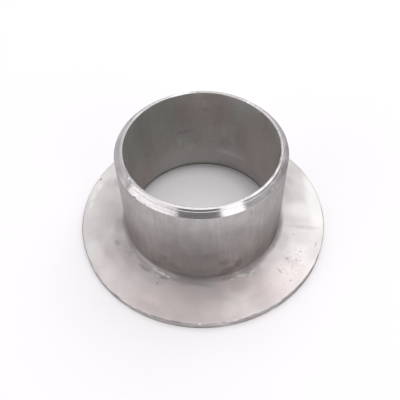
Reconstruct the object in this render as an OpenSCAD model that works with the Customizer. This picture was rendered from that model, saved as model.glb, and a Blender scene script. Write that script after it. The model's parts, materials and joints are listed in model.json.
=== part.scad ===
// Lap joint stub end: a short length of pipe whose lower end is flared out into a flat lap.
// The upper end is bevelled for a butt weld. A loose backing flange slides down the barrel
// and bears on the back of the lap, and a gasket seals on the lap's underside.
// The origin is the centre of the gasket face, and +Z runs up the barrel to the weld end.

/* [Barrel] */
// Outside diameter of the barrel
barrel_od = 57; // [48:0.5:76]
// Wall thickness of the barrel
wall = 3; // [2.2:0.1:4.5]
// Overall length, from the gasket face to the weld end
overall_length = 40; // [25:1:80]

/* [Lap] */
// Outside diameter of the lap
lap_od = 90; // [84:1:120]
// Thickness of the lap
lap_t = 3; // [2:0.1:5]
// Radius of the fillet between the barrel and the back of the lap
heel_r = 1.5; // [0.8:0.1:4]
// Chamfer that breaks both edges of the lap's rim
rim_break = 0.3; // [0.1:0.05:0.8]

/* [Weld end] */
// Width of the flat root face at the end of the wall
root_face = 1; // [0.4:0.1:1.8]
// Angle of the weld bevel from the end plane, in degrees
bevel_angle = 47; // [30:0.5:60]
// Radial depth of the first bevel cut, next to the root face
first_cut = 0.5; // [0.2:0.05:1]
// Width of the witness step that the second bevel cut leaves
witness_w = 0.15; // [0.05:0.05:0.4]

/* [Hidden] */
$fn = 180;

// Radii of the barrel, the bore and the lap
barrel_r = barrel_od / 2;
bore_r = barrel_r - wall;
lap_r = lap_od / 2;

// The wall keeps its thickness round the flare, so the throat at the gasket face is rounder than the heel.
throat_r = heel_r + wall;

// The bevel: the root face's edge, the witness step between the two cuts, and the bevel's foot on the barrel
root_r = bore_r + root_face;
witness_r = root_r + first_cut;
witness_z = overall_length - first_cut * tan(bevel_angle);
second_cut = barrel_r - witness_r - witness_w;
bevel_foot_z = witness_z - second_cut * tan(bevel_angle);

// Half section of the barrel, lap and bevel, with both corners of the flare still square
module square_section() {
    polygon([
        [bore_r, 0],
        [lap_r - rim_break, 0],
        [lap_r, rim_break],
        [lap_r, lap_t - rim_break],
        [lap_r - rim_break, lap_t],
        [barrel_r, lap_t],
        [barrel_r, bevel_foot_z],
        [witness_r + witness_w, witness_z],
        [witness_r, witness_z],
        [root_r, overall_length],
        [bore_r, overall_length]
    ]);
}

// What lies between a square corner at the origin and an arc that is tangent to both its sides
module corner_piece(r) {
    difference() {
        square(r);
        translate([r, r]) circle(r);
    }
}

// Half section of the wall: the heel is filled in and the throat is rounded off
module wall_section() {
    difference() {
        union() {
            square_section();
            translate([barrel_r, lap_t]) corner_piece(heel_r);
        }
        translate([bore_r, 0]) corner_piece(throat_r);
    }
}

// The whole fitting, one piece of pipe turned about its axis
module stub_end() {
    color("silver") rotate_extrude() wall_section();
}

stub_end();
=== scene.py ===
# %% [markdown]
# # A lap joint stub end in worn stainless steel
# The part is one piece: a short length of pipe whose lower end was flared out into a flat lap, and whose
# upper end was turned to a bevel for welding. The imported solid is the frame, and everything below is
# worked out from it, so the dressed part is the same size and stands in the same place.

# %% Load the frame
import json
import math

import bpy
import numpy as np
from mathutils import Matrix, Vector


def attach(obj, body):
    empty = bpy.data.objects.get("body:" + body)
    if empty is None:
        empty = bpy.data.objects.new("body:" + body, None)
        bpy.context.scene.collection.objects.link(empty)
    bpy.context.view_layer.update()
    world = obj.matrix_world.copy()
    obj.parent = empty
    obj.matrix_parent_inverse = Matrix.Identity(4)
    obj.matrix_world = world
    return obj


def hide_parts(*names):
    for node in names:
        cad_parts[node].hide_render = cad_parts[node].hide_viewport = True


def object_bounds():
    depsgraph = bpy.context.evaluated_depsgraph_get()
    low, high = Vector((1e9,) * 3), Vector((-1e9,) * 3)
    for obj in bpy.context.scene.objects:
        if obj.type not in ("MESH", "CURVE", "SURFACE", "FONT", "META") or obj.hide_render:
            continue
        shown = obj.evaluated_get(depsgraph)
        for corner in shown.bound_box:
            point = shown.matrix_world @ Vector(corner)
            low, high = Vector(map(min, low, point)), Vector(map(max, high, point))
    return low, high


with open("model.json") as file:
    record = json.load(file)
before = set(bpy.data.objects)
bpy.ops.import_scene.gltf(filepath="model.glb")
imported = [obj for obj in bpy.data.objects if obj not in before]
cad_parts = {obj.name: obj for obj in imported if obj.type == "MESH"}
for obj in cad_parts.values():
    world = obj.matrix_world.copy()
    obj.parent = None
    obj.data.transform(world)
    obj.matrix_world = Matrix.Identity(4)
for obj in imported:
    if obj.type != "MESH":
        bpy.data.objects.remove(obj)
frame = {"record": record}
cad_low, cad_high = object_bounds()
print("solid model from", tuple(cad_low), "to", tuple(cad_high))

# %% [markdown]
# ## Sizes
# A turned part is fully described by half of its section, so a few radii and heights are enough. The
# mounts in the record give the bore, the barrel and the faces, and the heel's and throat's radii follow
# from where the straight walls end. Only the small cuts at the weld end and the edges that a file leaves
# are named here in millimetres.

# %% Sizes from the frame
MM = 0.001
mounts = {mount["name"]: mount for mount in frame["record"]["mounts"]}
lap_r = cad_high.x
height = cad_high.z
lap_t = mounts["lap_back"]["pos_m"][2]
bore_r = mounts["bore"]["dims"]["r_mm"] * MM
barrel_r = mounts["barrel"]["dims"]["r_mm"] * MM
wall = barrel_r - bore_r
throat_r = height - mounts["bore"]["dims"]["length_mm"] * MM
heel_r = throat_r - wall
bevel_foot = lap_t + heel_r + mounts["barrel"]["dims"]["length_mm"] * MM
root_r = bore_r + 1.0 * MM
first_cut = 0.5 * MM
witness_w = 0.15 * MM
rim_break = 0.3 * MM
bevel_edge, witness_edge, root_edge, bore_edge = 0.08 * MM, 0.03 * MM, 0.05 * MM, 0.2 * MM
bevel_slope = (height - bevel_foot) / (barrel_r - root_r - witness_w)
witness_r = root_r + first_cut
witness_z = height - first_cut * bevel_slope
print(f"wall {wall / MM:.2f} mm, heel {heel_r / MM:.2f} mm, throat {throat_r / MM:.2f} mm")

# %% [markdown]
# ## The section
# The section is a closed outline with straight sides and round corners. Some corners are large, such as
# the throat, and some are only the edge that a file leaves. Both are the same shape, an arc tangent to
# two sides, so one function rounds them all. A Bevel modifier would round every edge alike, and a curve
# object would hide the radii, so the outline is worked out here.

# %% Round the corners of the section
SIDES = ("lap", "barrel", "bevel", "bore", "rim", "gasket")
# Corners run anticlockwise: radius, height, corner radius, arc steps, finish of the arc, then the finish
# and the steps of the side that follows it.
corners = [
    (bore_r, 0.0, throat_r, 12, "bore", "gasket", 14),
    (lap_r, 0.0, rim_break, 4, "rim", "rim", 3),
    (lap_r, lap_t, rim_break, 4, "rim", "lap", 34),
    (barrel_r, lap_t, heel_r, 10, "lap", "barrel", 34),
    (barrel_r, bevel_foot, bevel_edge, 3, "bevel", "bevel", 6),
    (witness_r + witness_w, witness_z, witness_edge, 2, "bevel", "bevel", 0),
    (witness_r, witness_z, witness_edge, 2, "bevel", "bevel", 3),
    (root_r, height, root_edge, 3, "bevel", "bevel", 3),
    (bore_r, height, bore_edge, 4, "bevel", "bore", 22),
]


def rounded_section(corners):
    """Radius, height and finish number along the closed outline.

    At each corner the arc's centre lies on the bisector of the two sides, at the corner radius divided by
    the sine of half the angle between them. The arc swings evenly from one side to the other, and the
    straight side that follows is split evenly up to the next arc's start.
    """
    points = np.array([corner[:2] for corner in corners])
    back = np.roll(points, 1, 0) - points
    ahead = np.roll(points, -1, 0) - points
    back /= np.linalg.norm(back, axis=1)[:, None]
    ahead /= np.linalg.norm(ahead, axis=1)[:, None]
    half = np.arccos((back * ahead).sum(1)) / 2
    radius = np.array([corner[2] for corner in corners])
    bisector = (back + ahead) / np.linalg.norm(back + ahead, axis=1)[:, None]
    centre = points + bisector * (radius / np.sin(half))[:, None]
    start = points + back * (radius / np.tan(half))[:, None]
    end = points + ahead * (radius / np.tan(half))[:, None]
    rows, finish = [], []
    for i, (_, _, _, arc_steps, arc_side, side, side_steps) in enumerate(corners):
        first = np.arctan2(*(start[i] - centre[i])[::-1])
        swing = np.arctan2(*(end[i] - centre[i])[::-1]) - first
        swing = (swing + np.pi) % (2 * np.pi) - np.pi
        angle = first + swing * np.linspace(0, 1, arc_steps + 1)
        rows.append(centre[i] + radius[i] * np.stack([np.cos(angle), np.sin(angle)], 1))
        following = start[(i + 1) % len(corners)]
        share = np.linspace(0, 1, side_steps + 2)[1:-1, None]
        rows.append(end[i] + (following - end[i]) * share)
        finish += [SIDES.index(arc_side)] * arc_steps + [SIDES.index(side)] * (side_steps + 1)
    return np.concatenate(rows), np.array(finish)


section, finish = rounded_section(corners)
print(f"section of {len(section)} points")

# %% [markdown]
# ## Carrying the section round
# The surface is a function of two parameters: the step along the section and the angle round the axis.
# Both close on themselves, so the grid wraps both ways and there is no seam and no pole to close. A Screw
# modifier could turn the section too, but these arrays also give what the finishes need: which way a
# lathe tool or a draw die ran over the surface.

# %% Sweep the section round the axis
ROUND = 576
angle = np.arange(ROUND) * (2 * np.pi / ROUND)
step = np.roll(section, -1, 0) - np.roll(section, 1, 0)
step /= np.linalg.norm(step, axis=1)[:, None]
along = np.concatenate([[0], np.cumsum(np.linalg.norm(np.diff(section, axis=0), axis=1))])
cos, sin = np.cos(angle)[:, None], np.sin(angle)[:, None]


def carried_round(radial, axial):
    """A vector with this radial and axial part at each section step, turned to every angle round Z."""
    return np.stack([cos * radial, sin * radial, np.ones_like(cos) * axial], -1)


surface = carried_round(section[:, 0], section[:, 1])
across = carried_round(step[:, 0], step[:, 1])
outward = carried_round(step[:, 1], -step[:, 0])
around = np.stack([-sin, cos, 0 * cos], -1) * np.ones((1, len(section), 1))
print("surface grid", surface.shape[:2])

# %% [markdown]
# ## Knocks
# A fitting that has been in a bin has small dents on its edges. Each one is a bell-shaped push into the
# metal, strongest at its middle. Dents are real shape, so they are in the mesh and not in a bump map. A
# Displace modifier could push them in too, but would need a texture or a group of points for each.

# %% Push in the knocks
# Angle in degrees, radius and height in millimetres, then the dent's reach and depth in millimetres.
knocks = [
    (155, 45.0, 2.9, 0.8, 0.30),
    (-137, 28.4, 38.0, 0.6, 0.15),
    (-128, 28.2, 38.2, 0.5, 0.12),
    (-40, 28.4, 38.1, 0.6, 0.15),
    (93, 25.6, 40.0, 0.5, 0.15),
    (35, 26.6, 39.8, 0.4, 0.10),
    (44, 26.2, 40.0, 0.5, 0.12),
    (52, 27.0, 39.4, 0.5, 0.12),
    (60, 26.3, 40.0, 0.4, 0.12),
    (69, 25.7, 40.0, 0.4, 0.14),
    (104, 26.0, 40.0, 0.4, 0.10),
    (-51, 45.0, 2.8, 0.7, 0.20),
    (20, 45.0, 2.9, 0.6, 0.20),
    (240, 45.0, 2.9, 0.5, 0.15),
    (300, 45.0, 0.3, 0.8, 0.15),
]
# A bell never quite ends, so its foot is cut off, and the metal beyond it stays exactly round.
BELL_FOOT = 0.02
for turn, radius, level, reach, depth in knocks:
    t = math.radians(turn)
    spot = np.array([radius * math.cos(t), radius * math.sin(t), level]) * MM
    distance = np.linalg.norm(surface - spot, axis=-1, keepdims=True)
    bell = np.clip(np.exp(-((distance / (reach * MM)) ** 2)) - BELL_FOOT, 0, None)
    surface = surface - outward * depth * MM * bell
print(len(knocks), "knocks pushed in")


# %% [markdown]
# ## The mesh
# The grid becomes one mesh of four-cornered faces, and each face keeps the number of its finish. Three
# attributes go with the points: the directions across and round the turning rings, which tell the shader
# which way a smeared reflection runs, and a place that is squeezed round the axis, so that noise read
# there comes out as rings. A UV map could carry the rings too, but would need a seam.

# %% Build the mesh
def wrapped_faces(rounds, steps):
    """Four corners of each face: a grid point, the next one round, the next one along, and back."""
    index = np.arange(rounds * steps).reshape(rounds, steps)
    turned = np.roll(index, -1, 0)
    return np.stack([index, turned, np.roll(turned, -1, 1), np.roll(index, -1, 1)], -1).reshape(-1, 4)


faces = wrapped_faces(*surface.shape[:2])
mesh = bpy.data.meshes.new("pipe_stub")
mesh.vertices.add(surface.size // 3)
mesh.vertices.foreach_set("co", surface.ravel())
mesh.loops.add(faces.size)
mesh.loops.foreach_set("vertex_index", faces.ravel())
mesh.polygons.add(len(faces))
mesh.polygons.foreach_set("loop_start", np.arange(0, faces.size, 4))
mesh.polygons.foreach_set("material_index", np.tile(finish, ROUND))
mesh.polygons.foreach_set("use_smooth", np.ones(len(faces), bool))
# The squeezed place moves this much for each metre round the axis, so a ring is about 30 times as long
# as it is wide before it changes.
STREAK = 0.03
grain = np.concatenate([surface[..., :2] * STREAK, np.ones((ROUND, 1, 1)) * along[:, None]], -1)
for name, values in (("across", across), ("around", around), ("turned", grain)):
    mesh.attributes.new(name, "FLOAT_VECTOR", "POINT").data.foreach_set("vector", values.ravel())
mesh.update(calc_edges=True)
stub = bpy.data.objects.new("pipe_stub", mesh)
bpy.context.scene.collection.objects.link(stub)
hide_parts("stub_end")
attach(stub, "root")
print(len(mesh.polygons) * 2, "triangles")


# %% [markdown]
# ## Helpers for the finishes
# Colours are written as they look on a screen, as hex values, and Blender's shaders work in linear light,
# so one function converts them. Another adds a shader node with its settings and links, which keeps each
# finish below short enough to read as a recipe.

# %% Colour and node helpers
def linear(hex_colour):
    """Linear RGBA of an sRGB hex colour: the low part is a straight line and the rest a power of 2.4."""
    srgb = np.array([int(hex_colour[i:i + 2], 16) for i in (1, 3, 5)]) / 255
    rgb = np.where(srgb <= 0.04045, srgb / 12.92, ((srgb + 0.055) / 1.055) ** 2.4)
    return (*rgb.tolist(), 1.0)


def connect(tree, node, inputs):
    """Set a node's inputs to values, or link them. Another node stands for its first output in use."""
    for socket, value in inputs.items():
        if isinstance(value, bpy.types.Node):
            value = next(output for output in value.outputs if output.enabled)
        if isinstance(value, bpy.types.NodeSocket):
            tree.links.new(value, node.inputs[socket])
        else:
            node.inputs[socket].default_value = value


def add(tree, kind, inputs=None, **settings):
    """One shader node. Settings are its properties, and inputs are values, nodes or their outputs."""
    node = tree.nodes.new(kind)
    for name, value in settings.items():
        setattr(node, name, value)
    connect(tree, node, inputs or {})
    return node


def start_material(name):
    """A new metal's node tree and its shader, put in the part's next material slot."""
    material = bpy.data.materials.new(name)
    material.use_nodes = True
    tree = material.node_tree
    tree.nodes.clear()
    # The tint greys what the metal shows at a glancing angle, as the skin of worn steel does.
    shader = add(tree, "ShaderNodeBsdfPrincipled", {"Metallic": 1.0, "Specular Tint": linear("#bdbab9")})
    add(tree, "ShaderNodeOutputMaterial", {"Surface": shader})
    stub.data.materials.append(material)
    return tree, shader


def per_metre(mm):
    """Texture scale that repeats about once in this many millimetres."""
    return 1000 / mm


print("stainless grey in linear light:", [round(v, 3) for v in linear("#b8b4b2")[:3]])


# %% [markdown]
# ## Marks
# Smudges, specks and scratches sit where they happened, and painted highlights and shade where light and
# shade fell, so each one is listed by its place. A mark is an ellipsoid in the part's own coordinates: a
# Mapping node measures every point from the ellipsoid's middle in units of its half sizes, and the length
# of that vector says how deep inside the mark the point lies.
# Stains have ragged edges, so for them a little noise moves each point first. A painted image would do
# the same, but would need a file and an unwrapped surface.

# %% Marks from a list of places
# Share of its half size over which a mark is at full strength.
CORE = 0.3


def marked(tree, marks, ragged=0.0):
    """How strongly a point lies in one of the marks, from 0 to 1.

    A mark is an azimuth in degrees, a radius and a height in millimetres, a lean in degrees away from the
    radial direction, its half sizes along, across and up in millimetres, and its strength. It fades
    smoothly from its core to its edge, and the strongest mark at a point wins. For ragged marks, noise
    between -0.5 and 0.5 times that many millimetres first moves each point.
    """
    place = add(tree, "ShaderNodeTexCoord").outputs["Object"]
    if ragged:
        noise = add(tree, "ShaderNodeTexNoise", {"Vector": place, "Scale": per_metre(2.5), "Detail": 3.0})
        shift = add(tree, "ShaderNodeVectorMath", {0: noise.outputs["Color"], 1: (0.5, 0.5, 0.5)},
                    operation="SUBTRACT")
        place = add(tree, "ShaderNodeVectorMath", {0: shift, 1: (ragged * MM,) * 3, 2: place},
                    operation="MULTIPLY_ADD")
    strongest = 0.0
    for azimuth, radius, level, lean, half_sizes, strength in marks:
        a = math.radians(azimuth)
        middle = Vector((radius * math.cos(a), radius * math.sin(a), level)) * MM
        own = add(tree, "ShaderNodeMapping", vector_type="TEXTURE", inputs={
            "Vector": place, "Location": middle, "Rotation": (0, 0, a + math.radians(lean)),
            "Scale": Vector(half_sizes) * MM})
        depth = add(tree, "ShaderNodeVectorMath", {0: own}, operation="LENGTH")
        fade = add(tree, "ShaderNodeMapRange", {0: depth, 1: 1.0, 2: CORE, 3: 0.0, 4: strength},
                   interpolation_type="SMOOTHSTEP")
        strongest = add(tree, "ShaderNodeMath", {0: fade, 1: strongest}, operation="MAXIMUM")
    return strongest


print(f"a mark fades over the outer {1 - CORE:.0%} of its half size")

# %% [markdown]
# ## The lap's back: pickled stainless
# The lap was faced on a lathe and then pickled, so it is satin, faintly warm, and its turning rings smear
# each reflection along the radius into soft wedges. Rings in a bump map could do that, but the real ones
# are finer than a pixel, so anisotropic roughness with a radial tangent does it. Clouds about a centimetre
# wide, smudges and short scratches darken the colour, rubbed places lighten it, and scuffed places get a
# fine grit. Painted shade darkens it towards the barrel and in the corner at the barrel's foot, and some
# soft dark patches are painted shade too. Painted highlights lighten the bright wedge on the right and
# patches along the left rim. All of that is mixed into the colour in layers. For handling marks, that is
# because handling changes how bright bare metal is more than it bumps it.

# %% Marks on the lap
# Each row gives an azimuth, a radius, a height, a lean, the half sizes and the strength of one mark.
# Dark specks, smudges and scratches, with painted shade: the soft wide patches and the grey line across the
# bright wedge on the right.
lap_marks_and_shade = [
    (-159, 33.4, 3, 0, (1.6, 2.3, 1), 0.40),
    (-156, 35.0, 3, 0, (0.5, 0.5, 1), 0.25),
    (-148, 30.9, 3, 0, (0.9, 0.8, 1), 0.36),
    (-119, 33.5, 3, 20, (0.7, 0.45, 1), 0.65),
    (-35.5, 36.0, 3, -13, (1.6, 0.45, 1), 0.40),
    (-44.5, 36.7, 3, -12, (1.6, 0.45, 1), 0.42),
    (-27.5, 38.7, 3, 0, (0.7, 0.7, 1), 0.28),
    (-45.2, 41.7, 3, 30, (0.6, 0.6, 1), 0.38),
    (-32.6, 40.2, 3, 0, (0.5, 0.5, 1), 0.30),
    (-20.6, 42.9, 3, 0, (0.6, 1.5, 1), 0.30),
    (-17.7, 34.4, 3, 0, (0.9, 0.8, 1), 0.22),
    (-11.2, 38.0, 3, 3, (8.0, 1.4, 1), 0.16),
    (-11.6, 36.6, 3, 3, (2.8, 1.0, 1), 0.22),
    (-49.2, 41.0, 3, 0, (0.5, 0.5, 1), 0.16),
    (-54.1, 38.2, 3, 0, (0.5, 0.6, 1), 0.16),
    (-50.5, 42.8, 3, 0, (0.5, 0.5, 1), 0.15),
    (155, 44.2, 3, 0, (0.9, 0.9, 1), 0.55),
    (145, 42.0, 3, 0, (6.0, 8.0, 1), 0.16),
    (150, 37.0, 3, 0, (4.0, 6.0, 1), 0.26),
    (178, 35.5, 3, 0, (6.0, 11.0, 1), 0.18),
    (188, 31.5, 3, 0, (3.0, 6.0, 1), 0.24),
    (208, 32.3, 3, 0, (3.5, 13.0, 1), 0.18),
    (234, 32.0, 3, 0, (4.0, 9.0, 1), 0.18),
    (243, 43.5, 3, 0, (4.0, 9.0, 1), 0.20),
    (291, 33.0, 3, 0, (5.0, 5.0, 1), 0.20),
    (296, 41.5, 3, 0, (6.0, 6.0, 1), 0.18),
    (335, 31.5, 3, 0, (3.0, 6.0, 1), 0.14),
    (333, 43.0, 3, 0, (4.0, 5.0, 1), 0.12),
    (28, 36.5, 3, 0, (4.0, 7.0, 1), 0.24),
    (31, 40.0, 3, 0, (3.5, 5.0, 1), 0.16),
    (20, 33.5, 3, 0, (3.0, 5.0, 1), 0.16),
    (341, 38.0, 3, 0, (4.5, 4.5, 1), 0.10),
    (153, 39.5, 3, 0, (4.0, 7.0, 1), 0.14),
    (185, 39.0, 3, 0, (6.0, 9.0, 1), 0.11),
]
# Ragged grime and painted shade at the barrel's foot, where it meets the lap.
lap_grime_and_shade = [
    (-132, 30.9, 3, 0, (1.1, 4.0, 3), 0.42),
    (-117, 30.9, 3, 0, (0.8, 2.4, 3), 0.45),
    (-95, 30.3, 3, 0, (1.3, 8.0, 3), 0.30),
    (-120, 28.9, 3.8, 0, (0.7, 5.0, 3), 0.30),
    (-74, 29.0, 3.8, 0, (1.0, 5.0, 3), 0.50),
    (-62, 29.0, 3.8, 0, (1.0, 4.0, 3), 0.35),
    (-59, 30.2, 3, 0, (0.9, 2.2, 3), 0.35),
    (-27, 29.1, 3.6, 0, (1.1, 6.0, 3), 0.30),
    (-12, 29.1, 3.6, 0, (1.1, 5.0, 3), 0.30),
]
# Rubbed places, and painted highlights: the bright wedge on the right and white patches along the left rim.
lap_rubs_and_highlights = [
    (2, 42.5, 3, 0, (5.0, 16.0, 1), 0.8),
    (1, 37.5, 3, 0, (9.0, 6.0, 1), 0.6),
    (203, 42.0, 3, 0, (4.5, 10.0, 1), 0.6),
    (212, 41.5, 3, 0, (5.0, 9.0, 1), 0.35),
    (262, 36.0, 3, 0, (9.0, 13.0, 1), 0.5),
    (313, 38.0, 3, 0, (8.5, 8.5, 1), 0.8),
    (312, 32.0, 3, 0, (3.0, 3.0, 1), 0.45),
    (271, 39.0, 3, 0, (6.0, 7.0, 1), 0.62),
    (280, 40.5, 3, 0, (5.0, 5.0, 1), 0.5),
    (12, 43.6, 3, 0, (3.0, 13.0, 1), 0.75),
    (164, 43.6, 3, 0, (2.2, 8.0, 1), 0.4),
    (160, 42.6, 3, 0, (1.4, 3.0, 1), 0.5),
    (167, 43.1, 3, 0, (1.3, 3.0, 1), 0.55),
    (172, 42.8, 3, 0, (1.2, 3.0, 1), 0.4),
    (-123, 43.6, 3, 0, (0.5, 1.6, 1), 0.35),
    (-119.5, 29.4, 3.1, 0, (0.5, 1.3, 1), 0.6),
    (-115, 29.6, 3.1, 0, (0.4, 1.0, 1), 0.7),
    (-126, 29.3, 3.2, 0, (0.5, 1.4, 1), 0.4),
    (-121, 29.45, 3.1, 0, (0.5, 4.0, 1), 0.35),
    (-71.8, 30.0, 3, 0, (0.5, 0.9, 1), 0.6),
    (-64.5, 30.1, 3, 0, (0.6, 1.8, 1), 0.45),
    (-66, 29.7, 3.1, 0, (0.5, 1.8, 1), 0.5),
    (-57, 30.6, 3, 0, (0.5, 1.2, 1), 0.5),
]
lap_blushes = [
    (258, 38.0, 3, 0, (11.0, 34.0, 1), 1.0),
    (215, 38.0, 3, 0, (11.0, 14.0, 1), 0.6),
    (306, 38.0, 3, 0, (11.0, 19.0, 1), 1.0),
    (288, 32.5, 3, 0, (5.0, 14.0, 1), 1.0),
]
lap_scuffs = [
    (-36, 38.0, 3, 0, (6.5, 10.0, 1), 0.6),
    (-146, 31.0, 3, 0, (2.2, 6.0, 1), 0.6),
    (-122, 31.0, 3, 0, (2.0, 7.0, 1), 0.5),
    (-62, 30.6, 3, 0, (1.6, 6.0, 1), 1.0),
]
print(sum(map(len, (lap_marks_and_shade, lap_grime_and_shade, lap_rubs_and_highlights, lap_blushes, lap_scuffs))), "marks on the lap")


# %% Lap finish
# Painted shade in the corner at the barrel thins out between the first two radii, and a fainter painted
# shade between the other two. Both edges wander by up to the last length.
CORNER_SHADE_FROM, CORNER_SHADE_TO = barrel_r + 1.7 * MM, barrel_r + 3.2 * MM
LAP_SHADE_FROM, LAP_SHADE_TO = barrel_r + 2.5 * MM, barrel_r + 13.5 * MM
EDGE_WANDER = 2 * MM


def pickled_lap():
    """Pickled plate, satin and faintly warm, with turning rings, clouds and painted shade in its inner
    corner.
    """
    tree, shader = start_material("pickled_stainless_lap")
    place = add(tree, "ShaderNodeTexCoord").outputs["Object"]
    rings = add(tree, "ShaderNodeAttribute", attribute_name="turned").outputs["Vector"]
    cloud = add(tree, "ShaderNodeTexNoise", {"Vector": place, "Scale": per_metre(14), "Detail": 2.5})
    fleck = add(tree, "ShaderNodeTexNoise", {"Vector": place, "Scale": per_metre(1.3), "Detail": 3.0})
    ring = add(tree, "ShaderNodeTexNoise", {"Vector": rings, "Scale": per_metre(1.2), "Detail": 4.0})
    flat = add(tree, "ShaderNodeVectorMath", {0: place, 1: (1, 1, 0)}, operation="MULTIPLY")
    radius = add(tree, "ShaderNodeVectorMath", {0: flat}, operation="LENGTH")
    wander = add(tree, "ShaderNodeMath", {0: cloud, 1: EDGE_WANDER, 2: radius}, operation="MULTIPLY_ADD")
    # Painted shade: darker in the corner at the barrel's foot, and more faintly further out from the
    # barrel.
    corner_shade = add(tree, "ShaderNodeMapRange", {0: wander, 1: CORNER_SHADE_FROM, 2: CORNER_SHADE_TO, 3: 0.6, 4: 0.0},
               interpolation_type="SMOOTHSTEP")
    shade_falloff = add(tree, "ShaderNodeMapRange", {0: wander, 1: LAP_SHADE_FROM, 2: LAP_SHADE_TO, 3: 0.15, 4: 0.0})
    band = add(tree, "ShaderNodeMapRange", {0: ring, 1: 0.35, 2: 0.7, 3: 0.0, 4: 0.08})
    bright = add(tree, "ShaderNodeMapRange", {0: fleck, 1: 0.4, 2: 0.7, 3: 0.0, 4: 0.22})
    layers = [
        (band, "#b3acac", "MIX"),
        (bright, "#ebe7e6", "MIX"),
        # Painted shade towards the barrel and in its corner.
        (shade_falloff, "#8a8482", "MIX"),
        (corner_shade, "#8a8482", "MIX"),
        # Grime, and painted shade at the barrel's foot.
        (marked(tree, lap_grime_and_shade, 2.0), "#6f6967", "MIX"),
        # Rubbed places, and painted highlights.
        (marked(tree, lap_rubs_and_highlights), "#f6f4f3", "MIX"),
        (marked(tree, lap_blushes), "#fff7f7", "MULTIPLY"),
        # Specks and smudges, and painted shade.
        (marked(tree, lap_marks_and_shade), "#6f6967", "MIX"),
    ]
    scuff = marked(tree, lap_scuffs)
    grit = add(tree, "ShaderNodeTexNoise", {"Vector": place, "Scale": per_metre(1.1), "Detail": 3.0})
    for first, last, most, colour in ((0.47, 0.34, 0.30, "#7b7572"), (0.53, 0.66, 0.46, "#fbf9f8")):
        part = add(tree, "ShaderNodeMapRange", {0: grit, 1: first, 2: last, 3: 0.0, 4: most})
        part = add(tree, "ShaderNodeMath", {0: part, 1: scuff}, operation="MULTIPLY")
        layers.append((part, colour, "MIX"))
    spread = add(tree, "ShaderNodeMapRange", {0: cloud, 1: 0.3, 2: 0.7})
    tone = add(tree, "ShaderNodeMix", {0: spread, 6: linear("#d4cfcf"), 7: linear("#e7e2e2")},
               data_type="RGBA")
    for share, colour, way in layers:
        tone = add(tree, "ShaderNodeMix", {0: share, 6: tone, 7: linear(colour)}, data_type="RGBA",
                   blend_type=way)
    rough = add(tree, "ShaderNodeMapRange", {0: cloud, 1: 0.3, 2: 0.7, 3: 0.48, 4: 0.43})
    grain = add(tree, "ShaderNodeMath", {0: ring, 1: fleck}, operation="ADD")
    bump = add(tree, "ShaderNodeBump", {"Strength": 0.04, "Distance": 0.05 * MM, "Height": grain})
    radial = add(tree, "ShaderNodeAttribute", attribute_name="across").outputs["Vector"]
    connect(tree, shader, {"Base Color": tone, "Roughness": rough, "Normal": bump, "Anisotropic": 0.95,
                           "Tangent": radial})
    return tree


print("lap nodes:", len(pickled_lap().nodes))

# %% [markdown]
# ## The barrel: drawn stainless
# The barrel is drawn pipe, which keeps fine streaks along its length from the die. Its foot is darker with
# painted shade, and has brown stains where pickling acid dried. Painted highlights lighten its left side,
# and large soft patches on its front are a painted dark reflection. The streaks are noise in two widths,
# drawn out along Z, and wider blotches break them up so that they don't read as brushed sheet. Stretched
# roughness alone would be quicker, but would give no streak that can be seen.

# %% Marks on the barrel
# Small dark specks, and large soft patches on the front that are a painted dark reflection.
barrel_marks_and_dark_reflection = [
    (-127.8, 28.5, 29.5, 0, (2, 0.5, 0.5), 0.5),
    (-130.0, 28.5, 16.9, 0, (2, 0.5, 1.0), 0.4),
    (-79.7, 28.5, 35.0, 0, (2, 0.5, 0.6), 0.45),
    (-72.3, 28.5, 26.8, 0, (2, 0.5, 0.7), 0.45),
    (-59.1, 28.5, 35.2, 0, (2, 0.6, 1.5), 0.4),
    (-95.0, 28.5, 22.0, 0, (12, 22.0, 16.0), 0.36),
    (-72.0, 28.5, 24.0, 0, (8, 11.0, 12.0), 0.34),
    (-48.0, 28.5, 14.0, 0, (8, 12.0, 14.0), 0.24),
    (-25.0, 28.5, 12.0, 0, (6, 9.0, 12.0), 0.34),
]
barrel_stains = [
    (-118.0, 28.5, 12.5, 0, (3, 3.0, 2.4), 0.35),
    (-113.0, 28.5, 9.5, 0, (3, 4.0, 2.6), 0.25),
    (-86.0, 28.5, 17.5, 0, (3, 3.5, 2.2), 0.22),
    (-67.0, 28.5, 9.8, 0, (3, 2.4, 4.0), 0.48),
    (-75.5, 28.5, 12.5, 0, (3, 3.6, 2.4), 0.36),
    (-74.0, 28.5, 7.5, 0, (3, 4.5, 3.0), 0.36),
    (-90.0, 28.5, 9.0, 0, (3, 6.0, 2.4), 0.18),
    (-18.0, 28.5, 6.0, 0, (3, 5.0, 4.0), 0.30),
    (-79.0, 28.5, 5.2, 0, (3, 5.0, 1.4), 0.24),
    (-50.0, 28.5, 9.0, 0, (3, 4.0, 3.0), 0.2),
    (-160.0, 28.5, 6.5, 0, (3, 5.0, 2.5), 0.3),
    (60.0, 28.5, 8.0, 0, (3, 5.0, 3.0), 0.35),
    (128.0, 28.5, 7.0, 0, (3, 6.0, 2.4), 0.35),
    (20.0, 28.5, 6.0, 0, (3, 7.0, 1.8), 0.3),
]
# Painted highlights, mostly on the left side.
barrel_highlights = [
    (-158.0, 28.5, 25.0, 0, (6, 7.0, 12.0), 0.55),
    (-146.0, 28.5, 6.5, 0, (6, 11.0, 6.0), 0.36),
    (-58.0, 28.5, 4.5, 0, (5, 9.0, 3.0), 0.25),
    (-145.0, 28.5, 25.0, 0, (6, 8.0, 9.0), 0.25),
    (-136.0, 28.5, 32.0, 0, (6, 9.0, 7.0), 0.25),
    (-152.0, 28.5, 33.0, 0, (6, 6.5, 6.0), 0.40),
]
print(sum(map(len, (barrel_marks_and_dark_reflection, barrel_stains, barrel_highlights))), "marks on the barrel")


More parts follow.
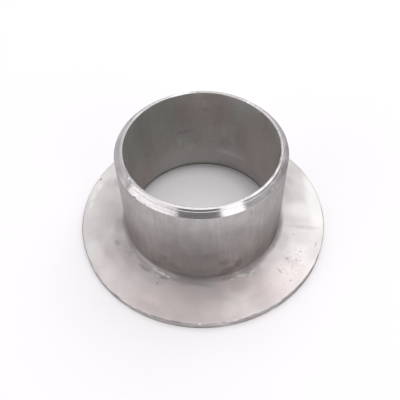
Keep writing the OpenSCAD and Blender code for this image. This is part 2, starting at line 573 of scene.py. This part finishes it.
# %% Barrel finish
# The painted shade at the foot thins out between these heights, and its edge wanders by up to the last
# length.
FOOT_FROM, FOOT_TO, FOOT_WANDER = 8 * MM, 26 * MM, 10 * MM


def drawn_barrel():
    """Drawn pipe, satin, with uneven streaks along its length and painted shade at its foot."""
    tree, shader = start_material("drawn_stainless_barrel")
    place = add(tree, "ShaderNodeTexCoord").outputs["Object"]
    drawn = add(tree, "ShaderNodeMapping", {"Vector": place, "Scale": (1, 1, 0.16)})
    streak = add(tree, "ShaderNodeTexNoise", {"Vector": drawn, "Scale": per_metre(2.2), "Detail": 4.0})
    hair = add(tree, "ShaderNodeTexNoise", {"Vector": drawn, "Scale": per_metre(0.9), "Detail": 2.0})
    blotch = add(tree, "ShaderNodeTexNoise", {"Vector": place, "Scale": per_metre(6), "Detail": 3.0})
    grit = add(tree, "ShaderNodeTexNoise", {"Vector": place, "Scale": per_metre(0.5), "Detail": 1.0})
    height_z = add(tree, "ShaderNodeSeparateXYZ", {0: place}).outputs["Z"]
    wander = add(tree, "ShaderNodeMath", {0: blotch, 1: FOOT_WANDER, 2: height_z}, operation="MULTIPLY_ADD")
    # Painted shade: darker towards the foot.
    shade_falloff = add(tree, "ShaderNodeMapRange", {0: wander, 1: FOOT_FROM, 2: FOOT_TO, 3: 0.08, 4: 0.0},
               interpolation_type="SMOOTHSTEP")
    speck = add(tree, "ShaderNodeMapRange", {0: grit, 1: 0.45, 2: 0.75, 3: 0.0, 4: 0.35})
    layers = [
        # Painted shade at the foot.
        (shade_falloff, "#a09a96"),
        # Specks, and painted dark reflection on the front.
        (marked(tree, barrel_marks_and_dark_reflection), "#6b6968"),
        (marked(tree, barrel_stains, 4.0), "#776f6b"),
        # Painted highlights.
        (marked(tree, barrel_highlights), "#e4e2e1"),
        (speck, "#8f8b89"),
    ]
    both = add(tree, "ShaderNodeMix", {0: 0.5, 2: streak, 3: blotch})
    both = add(tree, "ShaderNodeMix", {0: 0.23, 2: both, 3: hair})
    spread = add(tree, "ShaderNodeMapRange", {0: both, 1: 0.3, 2: 0.7})
    tone = add(tree, "ShaderNodeMix", {0: spread, 6: linear("#aeabaa"), 7: linear("#cdcac9")},
               data_type="RGBA")
    for share, colour in layers:
        tone = add(tree, "ShaderNodeMix", {0: share, 6: tone, 7: linear(colour)}, data_type="RGBA")
    rough = add(tree, "ShaderNodeMapRange", {0: spread, 1: 0.0, 2: 1.0, 3: 0.43, 4: 0.36})
    bump = add(tree, "ShaderNodeBump", {"Strength": 0.12, "Distance": 0.05 * MM, "Height": streak})
    ringwise = add(tree, "ShaderNodeAttribute", attribute_name="around").outputs["Vector"]
    connect(tree, shader, {"Base Color": tone, "Roughness": rough, "Normal": bump, "Anisotropic": 0.3,
                           "Tangent": ringwise})
    return tree


print("barrel nodes:", len(drawn_barrel().nodes))

# %% [markdown]
# ## The weld bevel: turned stainless
# The weld end was cut last and never pickled, so it is the brightest metal on the part. The tool left rings
# about a quarter of a millimetre apart, which hold a reflection sharp round the ring and smear it across.
# Real grooves would need a far finer mesh, so noise that is stretched round the axis bumps each ring by
# its own amount, and weaker noise that isn't stretched stands for the tool's chatter. Lights then end
# raggedly on it. Painted dark reflection dulls the right side, the inner edge of the root face there and
# the back of the land, a stretch on the left was rubbed to satin, and painted highlights brighten small
# spots.

# %% Marks on the bevel
# Painted dark reflection on the right side, the root face's inner edge and the back of the land.
bevel_dark_reflections = [
    (-41, 28.2, 39, 0, (2.4, 4.5, 3), 0.35),
    (-20, 28.2, 39, 0, (2.4, 6.0, 3), 0.60),
    (-6, 28.2, 39, 0, (2.4, 6.0, 3), 0.42),
    (201, 28.2, 39, 0, (2.6, 5.0, 3), 0.30),
    (-40, 25.45, 40, 0, (0.60, 5.5, 2), 0.75),
    (-30, 25.45, 40, 0, (0.75, 5.5, 2), 0.88),
    (-20, 25.45, 40, 0, (0.85, 5.5, 2), 0.92),
    (-10, 25.45, 40, 0, (0.95, 5.5, 2), 0.90),
    (0, 25.45, 40, 0, (0.95, 5.5, 2), 0.80),
    (10, 25.45, 40, 0, (0.90, 5.5, 2), 0.75),
    (20, 25.45, 40, 0, (0.80, 5.5, 2), 0.60),
    (30, 25.45, 40, 0, (0.60, 5.5, 2), 0.35),
    (-44, 26.9, 39.6, 0, (0.4, 5.0, 2), 0.42),
    (-32, 26.9, 39.6, 0, (0.4, 5.0, 2), 0.40),
    (-20, 26.9, 39.6, 0, (0.4, 5.0, 2), 0.42),
    (-8, 27.0, 39.5, 0, (0.5, 5.0, 2), 0.42),
    (62, 26.0, 40, 0, (2.0, 7.0, 2), 0.24),
    (76, 26.0, 40, 0, (2.0, 7.0, 2), 0.28),
    (90, 26.0, 40, 0, (2.0, 5.0, 2), 0.26),
]
# Painted highlights: bright spots and stretches on the left and the back.
bevel_highlights = [
    (158, 27.8, 39, 0, (3, 10.0, 2), 0.5),
    (146, 27.0, 39.5, 0, (2, 5.0, 2), 0.5),
    (105, 26.0, 40, 0, (2, 5.5, 2), 0.7),
    (-50, 26.2, 40, 0, (0.45, 4.5, 2), 0.7),
    (-39, 26.2, 40, 0, (0.45, 4.5, 2), 0.7),
    (-28, 26.25, 40, 0, (0.45, 4.5, 2), 0.45),
    (-149, 26.3, 40, 0, (0.5, 0.8, 2), 0.9),
    (-146, 26.0, 40, 0, (0.4, 1.2, 2), 0.5),
    (49.8, 25.9, 40, 0, (0.5, 0.7, 2), 0.9),
]
bevel_satin = [
    (176, 27.4, 39, 0, (6, 22.0, 4), 1.0),
]
print(sum(map(len, (bevel_dark_reflections, bevel_highlights, bevel_satin))), "marks on the bevel")


# %% Bevel finish
def turned_bevel():
    """Freshly turned metal, bright and fine-ringed, with short breaks where the tool chattered."""
    tree, shader = start_material("turned_stainless_bevel")
    rings = add(tree, "ShaderNodeAttribute", attribute_name="turned").outputs["Vector"]
    ring = add(tree, "ShaderNodeTexNoise", {"Vector": rings, "Scale": per_metre(0.25), "Detail": 3.0})
    place = add(tree, "ShaderNodeTexCoord").outputs["Object"]
    chatter = add(tree, "ShaderNodeTexNoise", {"Vector": place, "Scale": per_metre(0.7), "Detail": 2.0})
    cut = add(tree, "ShaderNodeMath", {0: chatter, 1: 0.45, 2: ring}, operation="MULTIPLY_ADD")
    layers = [
        # Painted dark reflection.
        (marked(tree, bevel_dark_reflections, 0.8), "#6f6b6b"),
        # Painted highlights.
        (marked(tree, bevel_highlights), "#e9e7e7"),
    ]
    spread = add(tree, "ShaderNodeMapRange", {0: cut, 1: 0.48, 2: 0.97})
    tone = add(tree, "ShaderNodeMix", {0: spread, 6: linear("#b0acad"), 7: linear("#cac6c7")},
               data_type="RGBA")
    for share, colour in layers:
        tone = add(tree, "ShaderNodeMix", {0: share, 6: tone, 7: linear(colour)}, data_type="RGBA")
    satin = marked(tree, bevel_satin)
    rough = add(tree, "ShaderNodeMapRange", {0: satin, 1: 0.0, 2: 1.0, 3: 0.18, 4: 0.42})
    bump = add(tree, "ShaderNodeBump", {"Strength": 0.14, "Distance": 0.03 * MM, "Height": cut})
    radial = add(tree, "ShaderNodeAttribute", attribute_name="across").outputs["Vector"]
    connect(tree, shader, {"Base Color": tone, "Roughness": rough, "Normal": bump, "Anisotropic": 0.6,
                           "Tangent": radial})
    return tree


print("bevel nodes:", len(turned_bevel().nodes))

# %% [markdown]
# ## The bore: dull stainless
# Inside, the pipe was pickled and never touched again. Its skin is matt and darker, with clouds that lean
# towards green in one place and towards red in another. A little less metal in the shader stands for the
# thin grey film that scatters light evenly. Two shaders could be mixed for that, with more nodes. A band
# of painted shade lies in the round of the throat, just above the floor. Painted shade also darkens some
# patches of the wall, and painted highlights lie where the wall catches light.

# %% Marks on the bore
bore_blushes = [
    (105, 25.5, 31, 0, (3, 5.0, 8.0), 1.0),
    (80, 25.5, 32, 0, (4, 13.0, 11.0), 1.0),
    (30, 25.5, 22, 0, (9, 17.0, 22.0), 1.0),
    (150, 25.5, 8, 0, (5, 9.0, 10.0), 1.0),
    (55, 25.5, 8, 0, (5, 9.0, 5.0), 0.7),
    (215, 25.5, 20, 0, (5, 9.0, 9.0), 0.9),
    (300, 25.5, 14, 0, (5, 9.0, 9.0), 0.9),
]
# Dark blotches, and painted shade: the wide soft patch on the left and patches above the throat.
bore_blotches_and_shade = [
    (105, 25.5, 22, 0, (2, 5.0, 1.8), 0.28),
    (62, 25.5, 5.2, 0, (3, 8.0, 2.4), 0.20),
    (68, 25.5, 17, 0, (2, 3.0, 4.0), 0.16),
    (84, 25.5, 32, 0, (2, 2.6, 2.0), 0.16),
    (120, 25.5, 30, 0, (2, 1.6, 6.0), 0.14),
    (88, 25.5, 38.5, 0, (4, 12.0, 3.0), 0.12),
    (230, 25.5, 26, 0, (2, 3.0, 2.5), 0.2),
    (320, 25.5, 10, 0, (2, 2.6, 3.0), 0.2),
    (130, 25.5, 29, 0, (9, 24.0, 18.0), 0.14),
]
# Painted highlights: lighter bands where the wall catches light, lowest on the right.
bore_highlights = [
    (62, 25.5, 11.4, 0, (3, 12.0, 2.2), 0.44),
    (100, 25.5, 12.3, 0, (3, 5.0, 4.0), 0.16),
    (108.6, 25.5, 16.8, 0, (2, 1.3, 3.0), 0.22),
    (99, 25.5, 12.3, 0, (2, 1.3, 3.2), 0.30),
    (250, 25.5, 18.0, 0, (3, 9.0, 2.0), 0.2),
    (22, 25.5, 18.0, 0, (9, 16.0, 24.0), 0.32),
    (100, 25.5, 8.0, 0, (12, 30.0, 8.0), 0.2),
    (50, 25.5, 9.0, 0, (9, 14.0, 9.0), 0.2),
]
print(sum(map(len, (bore_blushes, bore_blotches_and_shade, bore_highlights))), "marks on the bore")


# %% Bore finish
# The painted shade in the throat comes in between the first two heights and thins out between the last two.
THROAT_LOW, THROAT_FULL, THROAT_THIN, THROAT_CLEAN = 0.2 * MM, 1.4 * MM, 2.8 * MM, 4.6 * MM


def dull_bore():
    """Inside of the pipe, pickled matt, with soft clouds of grey and faint streaks along the length."""
    tree, shader = start_material("dull_stainless_bore")
    place = add(tree, "ShaderNodeTexCoord").outputs["Object"]
    drawn = add(tree, "ShaderNodeMapping", {"Vector": place, "Scale": (1, 1, 0.3)})
    cloud = add(tree, "ShaderNodeTexNoise", {"Vector": drawn, "Scale": per_metre(8), "Detail": 4.0})
    streak = add(tree, "ShaderNodeTexNoise", {"Vector": drawn, "Scale": per_metre(1.6), "Detail": 3.0})
    grit = add(tree, "ShaderNodeTexNoise", {"Vector": place, "Scale": per_metre(0.6), "Detail": 1.0})
    speck = add(tree, "ShaderNodeMapRange", {0: grit, 1: 0.45, 2: 0.75, 3: 0.0, 4: 0.3})
    height_z = add(tree, "ShaderNodeSeparateXYZ", {0: place}).outputs["Z"]
    # Painted shade in the round of the throat.
    thin = add(tree, "ShaderNodeMapRange",
               {0: height_z, 1: THROAT_THIN, 2: THROAT_CLEAN, 3: 0.6, 4: 0.0})
    come = add(tree, "ShaderNodeMapRange", {0: height_z, 1: THROAT_LOW, 2: THROAT_FULL})
    corner_shade = add(tree, "ShaderNodeMath", {0: thin, 1: come}, operation="MULTIPLY")
    layers = [
        (speck, "#84817d", "MIX"),
        (marked(tree, bore_blushes), "#fff4f2", "MULTIPLY"),
        # Blotches and painted shade.
        (marked(tree, bore_blotches_and_shade), "#6c6864", "MIX"),
        # Painted highlights.
        (marked(tree, bore_highlights), "#dcd8d6", "MIX"),
        # Painted shade in the throat.
        (corner_shade, "#4c4846", "MIX"),
    ]
    both = add(tree, "ShaderNodeMix", {0: 0.15, 2: cloud, 3: streak})
    spread = add(tree, "ShaderNodeMapRange", {0: both, 1: 0.3, 2: 0.7})
    tone = add(tree, "ShaderNodeMix", {0: spread, 6: linear("#a4a29e"), 7: linear("#bab8b5")},
               data_type="RGBA")
    for share, colour, way in layers:
        tone = add(tree, "ShaderNodeMix", {0: share, 6: tone, 7: linear(colour)}, data_type="RGBA",
                   blend_type=way)
    rough = add(tree, "ShaderNodeMapRange", {0: cloud, 1: 0.3, 2: 0.7, 3: 0.58, 4: 0.66})
    bump = add(tree, "ShaderNodeBump", {"Strength": 0.1, "Distance": 0.05 * MM, "Height": streak})
    connect(tree, shader, {"Base Color": tone, "Roughness": rough, "Normal": bump, "Metallic": 0.75})
    return tree


print("bore nodes:", len(dull_bore().nodes))

# %% [markdown]
# ## The rim and the gasket face: turned stainless
# The rim was turned to size and then knocked about, so it is a little dull, with nicks and streaks along
# it. Painted shade darkens its top and bottom edges and two wide patches, and painted highlights lie on
# its edge. The gasket face underneath is what seals, and is turned in fine even rings that a gasket can
# bite into. One finish for both would be simpler, but handling has worn most of the rings off the rim.

# %% Marks on the rim
# Nicks, and painted shade: the dark lines along the rim's top and bottom edges and two wide patches.
rim_nicks_and_shade = [
    (-48, 45, 1.5, 0, (2, 0.9, 1.2), 0.5),
    (155, 45, 2.6, 0, (2, 1.0, 0.9), 0.6),
    (-35, 45, 1.5, 0, (7, 17.0, 4.0), 0.26),
    (188, 45, 1.5, 0, (5, 14.0, 4.0), 0.26),
    (252, 45, 2.8, 0, (2, 10.0, 0.8), 0.45),
    (270, 45, 0.3, 0, (3, 18.0, 1.1), 0.36),
    (252, 45, 0.3, 0, (3, 10.0, 1.1), 0.40),
    (290, 45, 0.3, 0, (3, 12.0, 1.1), 0.26),
    (311, 45, 0.3, 0, (3, 10.0, 1.1), 0.24),
]
# Painted highlights on the rim's edge.
rim_highlights = [
    (-92.6, 45, 2.8, 0, (0.6, 0.7, 0.6), 0.9),
    (-77.5, 45, 2.9, 0, (0.6, 1.6, 0.5), 0.5),
]
print(sum(map(len, (rim_nicks_and_shade, rim_highlights))), "marks on the rim")


# %% Rim and gasket face finishes
def turned_rim():
    """Edge of the lap, turned to size, dulled in patches, with nicks, painted shade and painted highlights.
    """
    tree, shader = start_material("turned_stainless_rim")
    place = add(tree, "ShaderNodeTexCoord").outputs["Object"]
    rings = add(tree, "ShaderNodeAttribute", attribute_name="turned").outputs["Vector"]
    ring = add(tree, "ShaderNodeTexNoise", {"Vector": rings, "Scale": per_metre(0.4), "Detail": 3.0})
    patch = add(tree, "ShaderNodeTexNoise", {"Vector": place, "Scale": per_metre(6), "Detail": 3.0})
    drawn = add(tree, "ShaderNodeMapping", {"Vector": place, "Scale": (1, 1, 6)})
    nick = add(tree, "ShaderNodeTexNoise", {"Vector": drawn, "Scale": per_metre(4), "Detail": 3.0})
    # Nicks and painted shade.
    layers = [(marked(tree, rim_nicks_and_shade, 1.0), "#6f6967")]
    for first, last, most, colour in ((0.46, 0.34, 0.35, "#5d5857"), (0.56, 0.68, 0.4, "#f4f1f0")):
        part = add(tree, "ShaderNodeMapRange", {0: nick, 1: first, 2: last, 3: 0.0, 4: most})
        layers.append((part, colour))
    # Painted highlights.
    layers.append((marked(tree, rim_highlights), "#f9f7f6"))
    both = add(tree, "ShaderNodeMix", {0: 0.6, 2: ring, 3: patch})
    spread = add(tree, "ShaderNodeMapRange", {0: both, 1: 0.35, 2: 0.65})
    tone = add(tree, "ShaderNodeMix", {0: spread, 6: linear("#aea9a8"), 7: linear("#d8d3d2")},
               data_type="RGBA")
    for share, colour in layers:
        tone = add(tree, "ShaderNodeMix", {0: share, 6: tone, 7: linear(colour)}, data_type="RGBA")
    rough = add(tree, "ShaderNodeMapRange", {0: patch, 1: 0.3, 2: 0.7, 3: 0.38, 4: 0.26})
    connect(tree, shader, {"Base Color": tone, "Roughness": rough})
    return tree


def turned_gasket_face():
    """Sealing face, turned with fine even rings, drawn coarser than real ones so that they show."""
    tree, shader = start_material("turned_stainless_face")
    rings = add(tree, "ShaderNodeAttribute", attribute_name="turned").outputs["Vector"]
    ring = add(tree, "ShaderNodeTexNoise", {"Vector": rings, "Scale": per_metre(0.8), "Detail": 3.0})
    tone = add(tree, "ShaderNodeMix", {0: ring, 6: linear("#a9a4a3"), 7: linear("#cbc6c5")},
               data_type="RGBA")
    bump = add(tree, "ShaderNodeBump", {"Strength": 0.3, "Distance": 0.05 * MM, "Height": ring})
    radial = add(tree, "ShaderNodeAttribute", attribute_name="across").outputs["Vector"]
    connect(tree, shader, {"Base Color": tone, "Roughness": 0.3, "Normal": bump, "Anisotropic": 0.6,
                           "Tangent": radial})
    return tree


turned_rim()
turned_gasket_face()
print([material.name for material in stub.data.materials])

# %% [markdown]
# ## Camera
# The camera looks down at a little over 50 degrees with a slight roll, close enough that the lap's near
# side looks wider than its far side. It could be placed by hand in the viewport, but here its place is
# worked out from those angles, so each can be changed by itself.

# %% Place the camera
ELEVATION, ROLL = math.radians(51.39), math.radians(-1.54)
DISTANCE, AIM_HEIGHT = 194.14 * MM, 22 * MM
SLIDE_RIGHT, SLIDE_UP = 0.69 * MM, 6.62 * MM
FOCAL_PIXELS, FRAME_PIXELS = 556.42, 400

forward = Vector((0, math.cos(ELEVATION), -math.sin(ELEVATION)))
level_right = Vector((1, 0, 0))
level_up = level_right.cross(forward)
right = level_right * math.cos(ROLL) + level_up * math.sin(ROLL)
up = level_up * math.cos(ROLL) - level_right * math.sin(ROLL)
camera_data = bpy.data.cameras.new("camera")
camera_data.lens = FOCAL_PIXELS / FRAME_PIXELS * camera_data.sensor_width
camera_data.clip_start = 0.01
camera = bpy.data.objects.new("camera", camera_data)
bpy.context.scene.collection.objects.link(camera)
stand = Vector((0, 0, AIM_HEIGHT)) - forward * DISTANCE - right * SLIDE_RIGHT - up * SLIDE_UP
turn = Matrix((right, up, -forward)).transposed()
camera.matrix_world = Matrix.Translation(stand) @ turn.to_4x4()
bpy.context.scene.camera = camera
print(f"lens {camera_data.lens:.1f} mm at", tuple(round(v / MM, 1) for v in stand), "mm")

# %% [markdown]
# ## Floor
# The part stands on white board. Board alone never renders quite white under a plain level of light, so a
# small glow is added for the rays that come from the camera or off the metal. The rays that light the part
# don't see the glow, and the shadow stays. Stronger lamps would whiten the board too, but would burn out
# the metal. The glow rises far from the part, where the board should look like paper, and falls inside
# the bore towards its wall, where little light gets in.

# %% Lay the floor
# The glow rises between two distances from the part, in metres, and falls between two from the middle of
# the bore.
FLOOR_SIDE, FLOOR_GLOW, FAR_GLOW = 12.0, 0.29, 0.75
GLOW_FROM, GLOW_TO = 0.35, 1.4
BORE_MIDDLE, BORE_FROM, BORE_TO, BORE_GLOW = (-2 * MM, 3 * MM, 0), 18 * MM, 26 * MM, 0.13
half = FLOOR_SIDE / 2
floor_mesh = bpy.data.meshes.new("floor")
floor_corners = [(-half, -half, 0), (half, -half, 0), (half, half, 0), (-half, half, 0)]
floor_mesh.from_pydata(floor_corners, [], [(0, 1, 2, 3)])
floor = bpy.data.objects.new("floor", floor_mesh)
bpy.context.scene.collection.objects.link(floor)
floor_material = bpy.data.materials.new("white_board")
floor_material.use_nodes = True
tree = floor_material.node_tree
tree.nodes.clear()
path = add(tree, "ShaderNodeLightPath")
seen = path.outputs["Is Camera Ray"]
for ray in ("Is Glossy Ray", "Is Transmission Ray"):
    seen = add(tree, "ShaderNodeMath", {0: seen, 1: path.outputs[ray]}, operation="MAXIMUM")
place = add(tree, "ShaderNodeTexCoord").outputs["Object"]
distance = add(tree, "ShaderNodeVectorMath", {0: place}, operation="LENGTH")
far = add(tree, "ShaderNodeMapRange", {0: distance, 1: GLOW_FROM, 2: GLOW_TO, 3: FLOOR_GLOW, 4: FAR_GLOW})
inside = add(tree, "ShaderNodeVectorMath", {0: place, 1: BORE_MIDDLE}, operation="DISTANCE")
near = add(tree, "ShaderNodeMapRange", {0: inside, 1: BORE_FROM, 2: BORE_TO, 3: FLOOR_GLOW, 4: BORE_GLOW},
           interpolation_type="SMOOTHSTEP")
outside = add(tree, "ShaderNodeMath", {0: distance, 1: (barrel_r + lap_r) / 2}, operation="GREATER_THAN")
level = add(tree, "ShaderNodeMix", {0: outside, 2: near, 3: far})
glow_level = add(tree, "ShaderNodeMath", {0: seen, 1: level}, operation="MULTIPLY")
board = add(tree, "ShaderNodeBsdfDiffuse", {"Color": linear("#dad8db")})
glow = add(tree, "ShaderNodeEmission", {"Color": linear("#fffbfd"), "Strength": glow_level})
both = add(tree, "ShaderNodeAddShader", {0: board, 1: glow})
add(tree, "ShaderNodeOutputMaterial", {"Surface": both})
floor_mesh.materials.append(floor_material)
print(f"floor {FLOOR_SIDE:.0f} m across")

# %% [markdown]
# ## Room
# Bare metal shows its surroundings more than its own colour. The room is grey, and paler towards the
# horizon, so that the dark parts of the bevel have something dark to show. Just above the horizon lies a
# white band, so that the board seems to go on up the wall behind the part. A hung backdrop could do that,
# but would need a curve where it meets the floor.

# %% Set the room's level
HORIZON_LEVEL, ROOM_LEVEL, ROOM_FROM = 0.57, 0.31, 25
BAND_LEVEL, BAND_FROM, BAND_TO = 0.43, 5, 9
world = bpy.data.worlds.new("studio")
bpy.context.scene.world = world
world.use_nodes = True
tree = world.node_tree
tree.nodes.clear()
direction = add(tree, "ShaderNodeTexCoord").outputs["Generated"]
upward = add(tree, "ShaderNodeSeparateXYZ", {0: direction}).outputs["Z"]
level = add(tree, "ShaderNodeMapRange", {0: upward, 1: 0.0, 2: math.sin(math.radians(ROOM_FROM)),
                                         3: HORIZON_LEVEL, 4: ROOM_LEVEL})
band = add(tree, "ShaderNodeMapRange", {0: upward, 1: math.sin(math.radians(BAND_FROM)),
                                        2: math.sin(math.radians(BAND_TO)), 3: BAND_LEVEL, 4: 0.0})
level = add(tree, "ShaderNodeMath", {0: level, 1: band}, operation="ADD")
room = add(tree, "ShaderNodeBackground", {"Color": linear("#ffffff"), "Strength": level})
add(tree, "ShaderNodeOutputWorld", {"Surface": room})
print("room level", ROOM_LEVEL, "and at the horizon", HORIZON_LEVEL)


# %% [markdown]
# ## Softboxes
# One large lamp would be simpler, but bare metal would show it as a single highlight, so there are ten.
# A broad panel overhead lights the part evenly. The boxes behind the part are what the flat lap mirrors,
# so they are stronger on the right, where it gleams. The low boxes on the left and on the right are what
# the barrel and the bevel mirror. The gap between them, where the camera stands, gives the bevel its dark
# stretch between two bright ones. Each lamp is given by its direction and by the brightness that a mirror
# would show, because that is what metal shows.

# %% Hang the softboxes
LAMP_REACH = 0.9


def softbox(name, azimuth, elevation, wide, high, brightness):
    """A rectangular soft lamp that faces the part, given by its direction and its spread in degrees.

    Its sides are twice its distance times the tangent of half its spread, and its power is pi times its
    area times its brightness.
    """
    lamp = bpy.data.lights.new(name, "AREA")
    lamp.shape = "RECTANGLE"
    lamp.size = 2 * LAMP_REACH * math.tan(math.radians(wide / 2))
    lamp.size_y = 2 * LAMP_REACH * math.tan(math.radians(high / 2))
    lamp.energy = math.pi * lamp.size * lamp.size_y * brightness
    item = bpy.data.objects.new(name, lamp)
    bpy.context.scene.collection.objects.link(item)
    a, e = math.radians(azimuth), math.radians(elevation)
    direction = Vector((math.cos(a) * math.cos(e), math.sin(a) * math.cos(e), math.sin(e)))
    item.location = LAMP_REACH * direction
    item.rotation_euler = (-item.location).to_track_quat("-Z", "Y").to_euler()
    item.visible_camera = False
    return item


# Name, direction in degrees from +X towards +Y, height in degrees, spread across and up, brightness.
softboxes = [
    ("ceiling_panel", 80, 82, 60, 56, 1.3),
    ("back_right_softbox", 58, 63, 46, 30, 0.62),
    ("back_right_low_softbox", 32, 45, 32, 24, 1.15),
    ("back_softbox", 78, 38, 40, 22, 1.15),
    ("back_right_mid_softbox", 52, 40, 18, 16, 0.65),
    ("left_high_softbox", 140, 50, 22, 18, 0.37),
    ("left_softbox", 209, 20, 56, 36, 1.38),
    ("left_back_softbox", 150, 9, 52, 17, 0.5),
    ("right_front_softbox", 305, 30, 23, 26, 1.95),
    ("right_softbox", 340, 17, 44, 28, 0.41),
]
for row in softboxes:
    softbox(*row)
bpy.context.scene.view_settings.view_transform = "Standard"
print(len(softboxes), "softboxes")
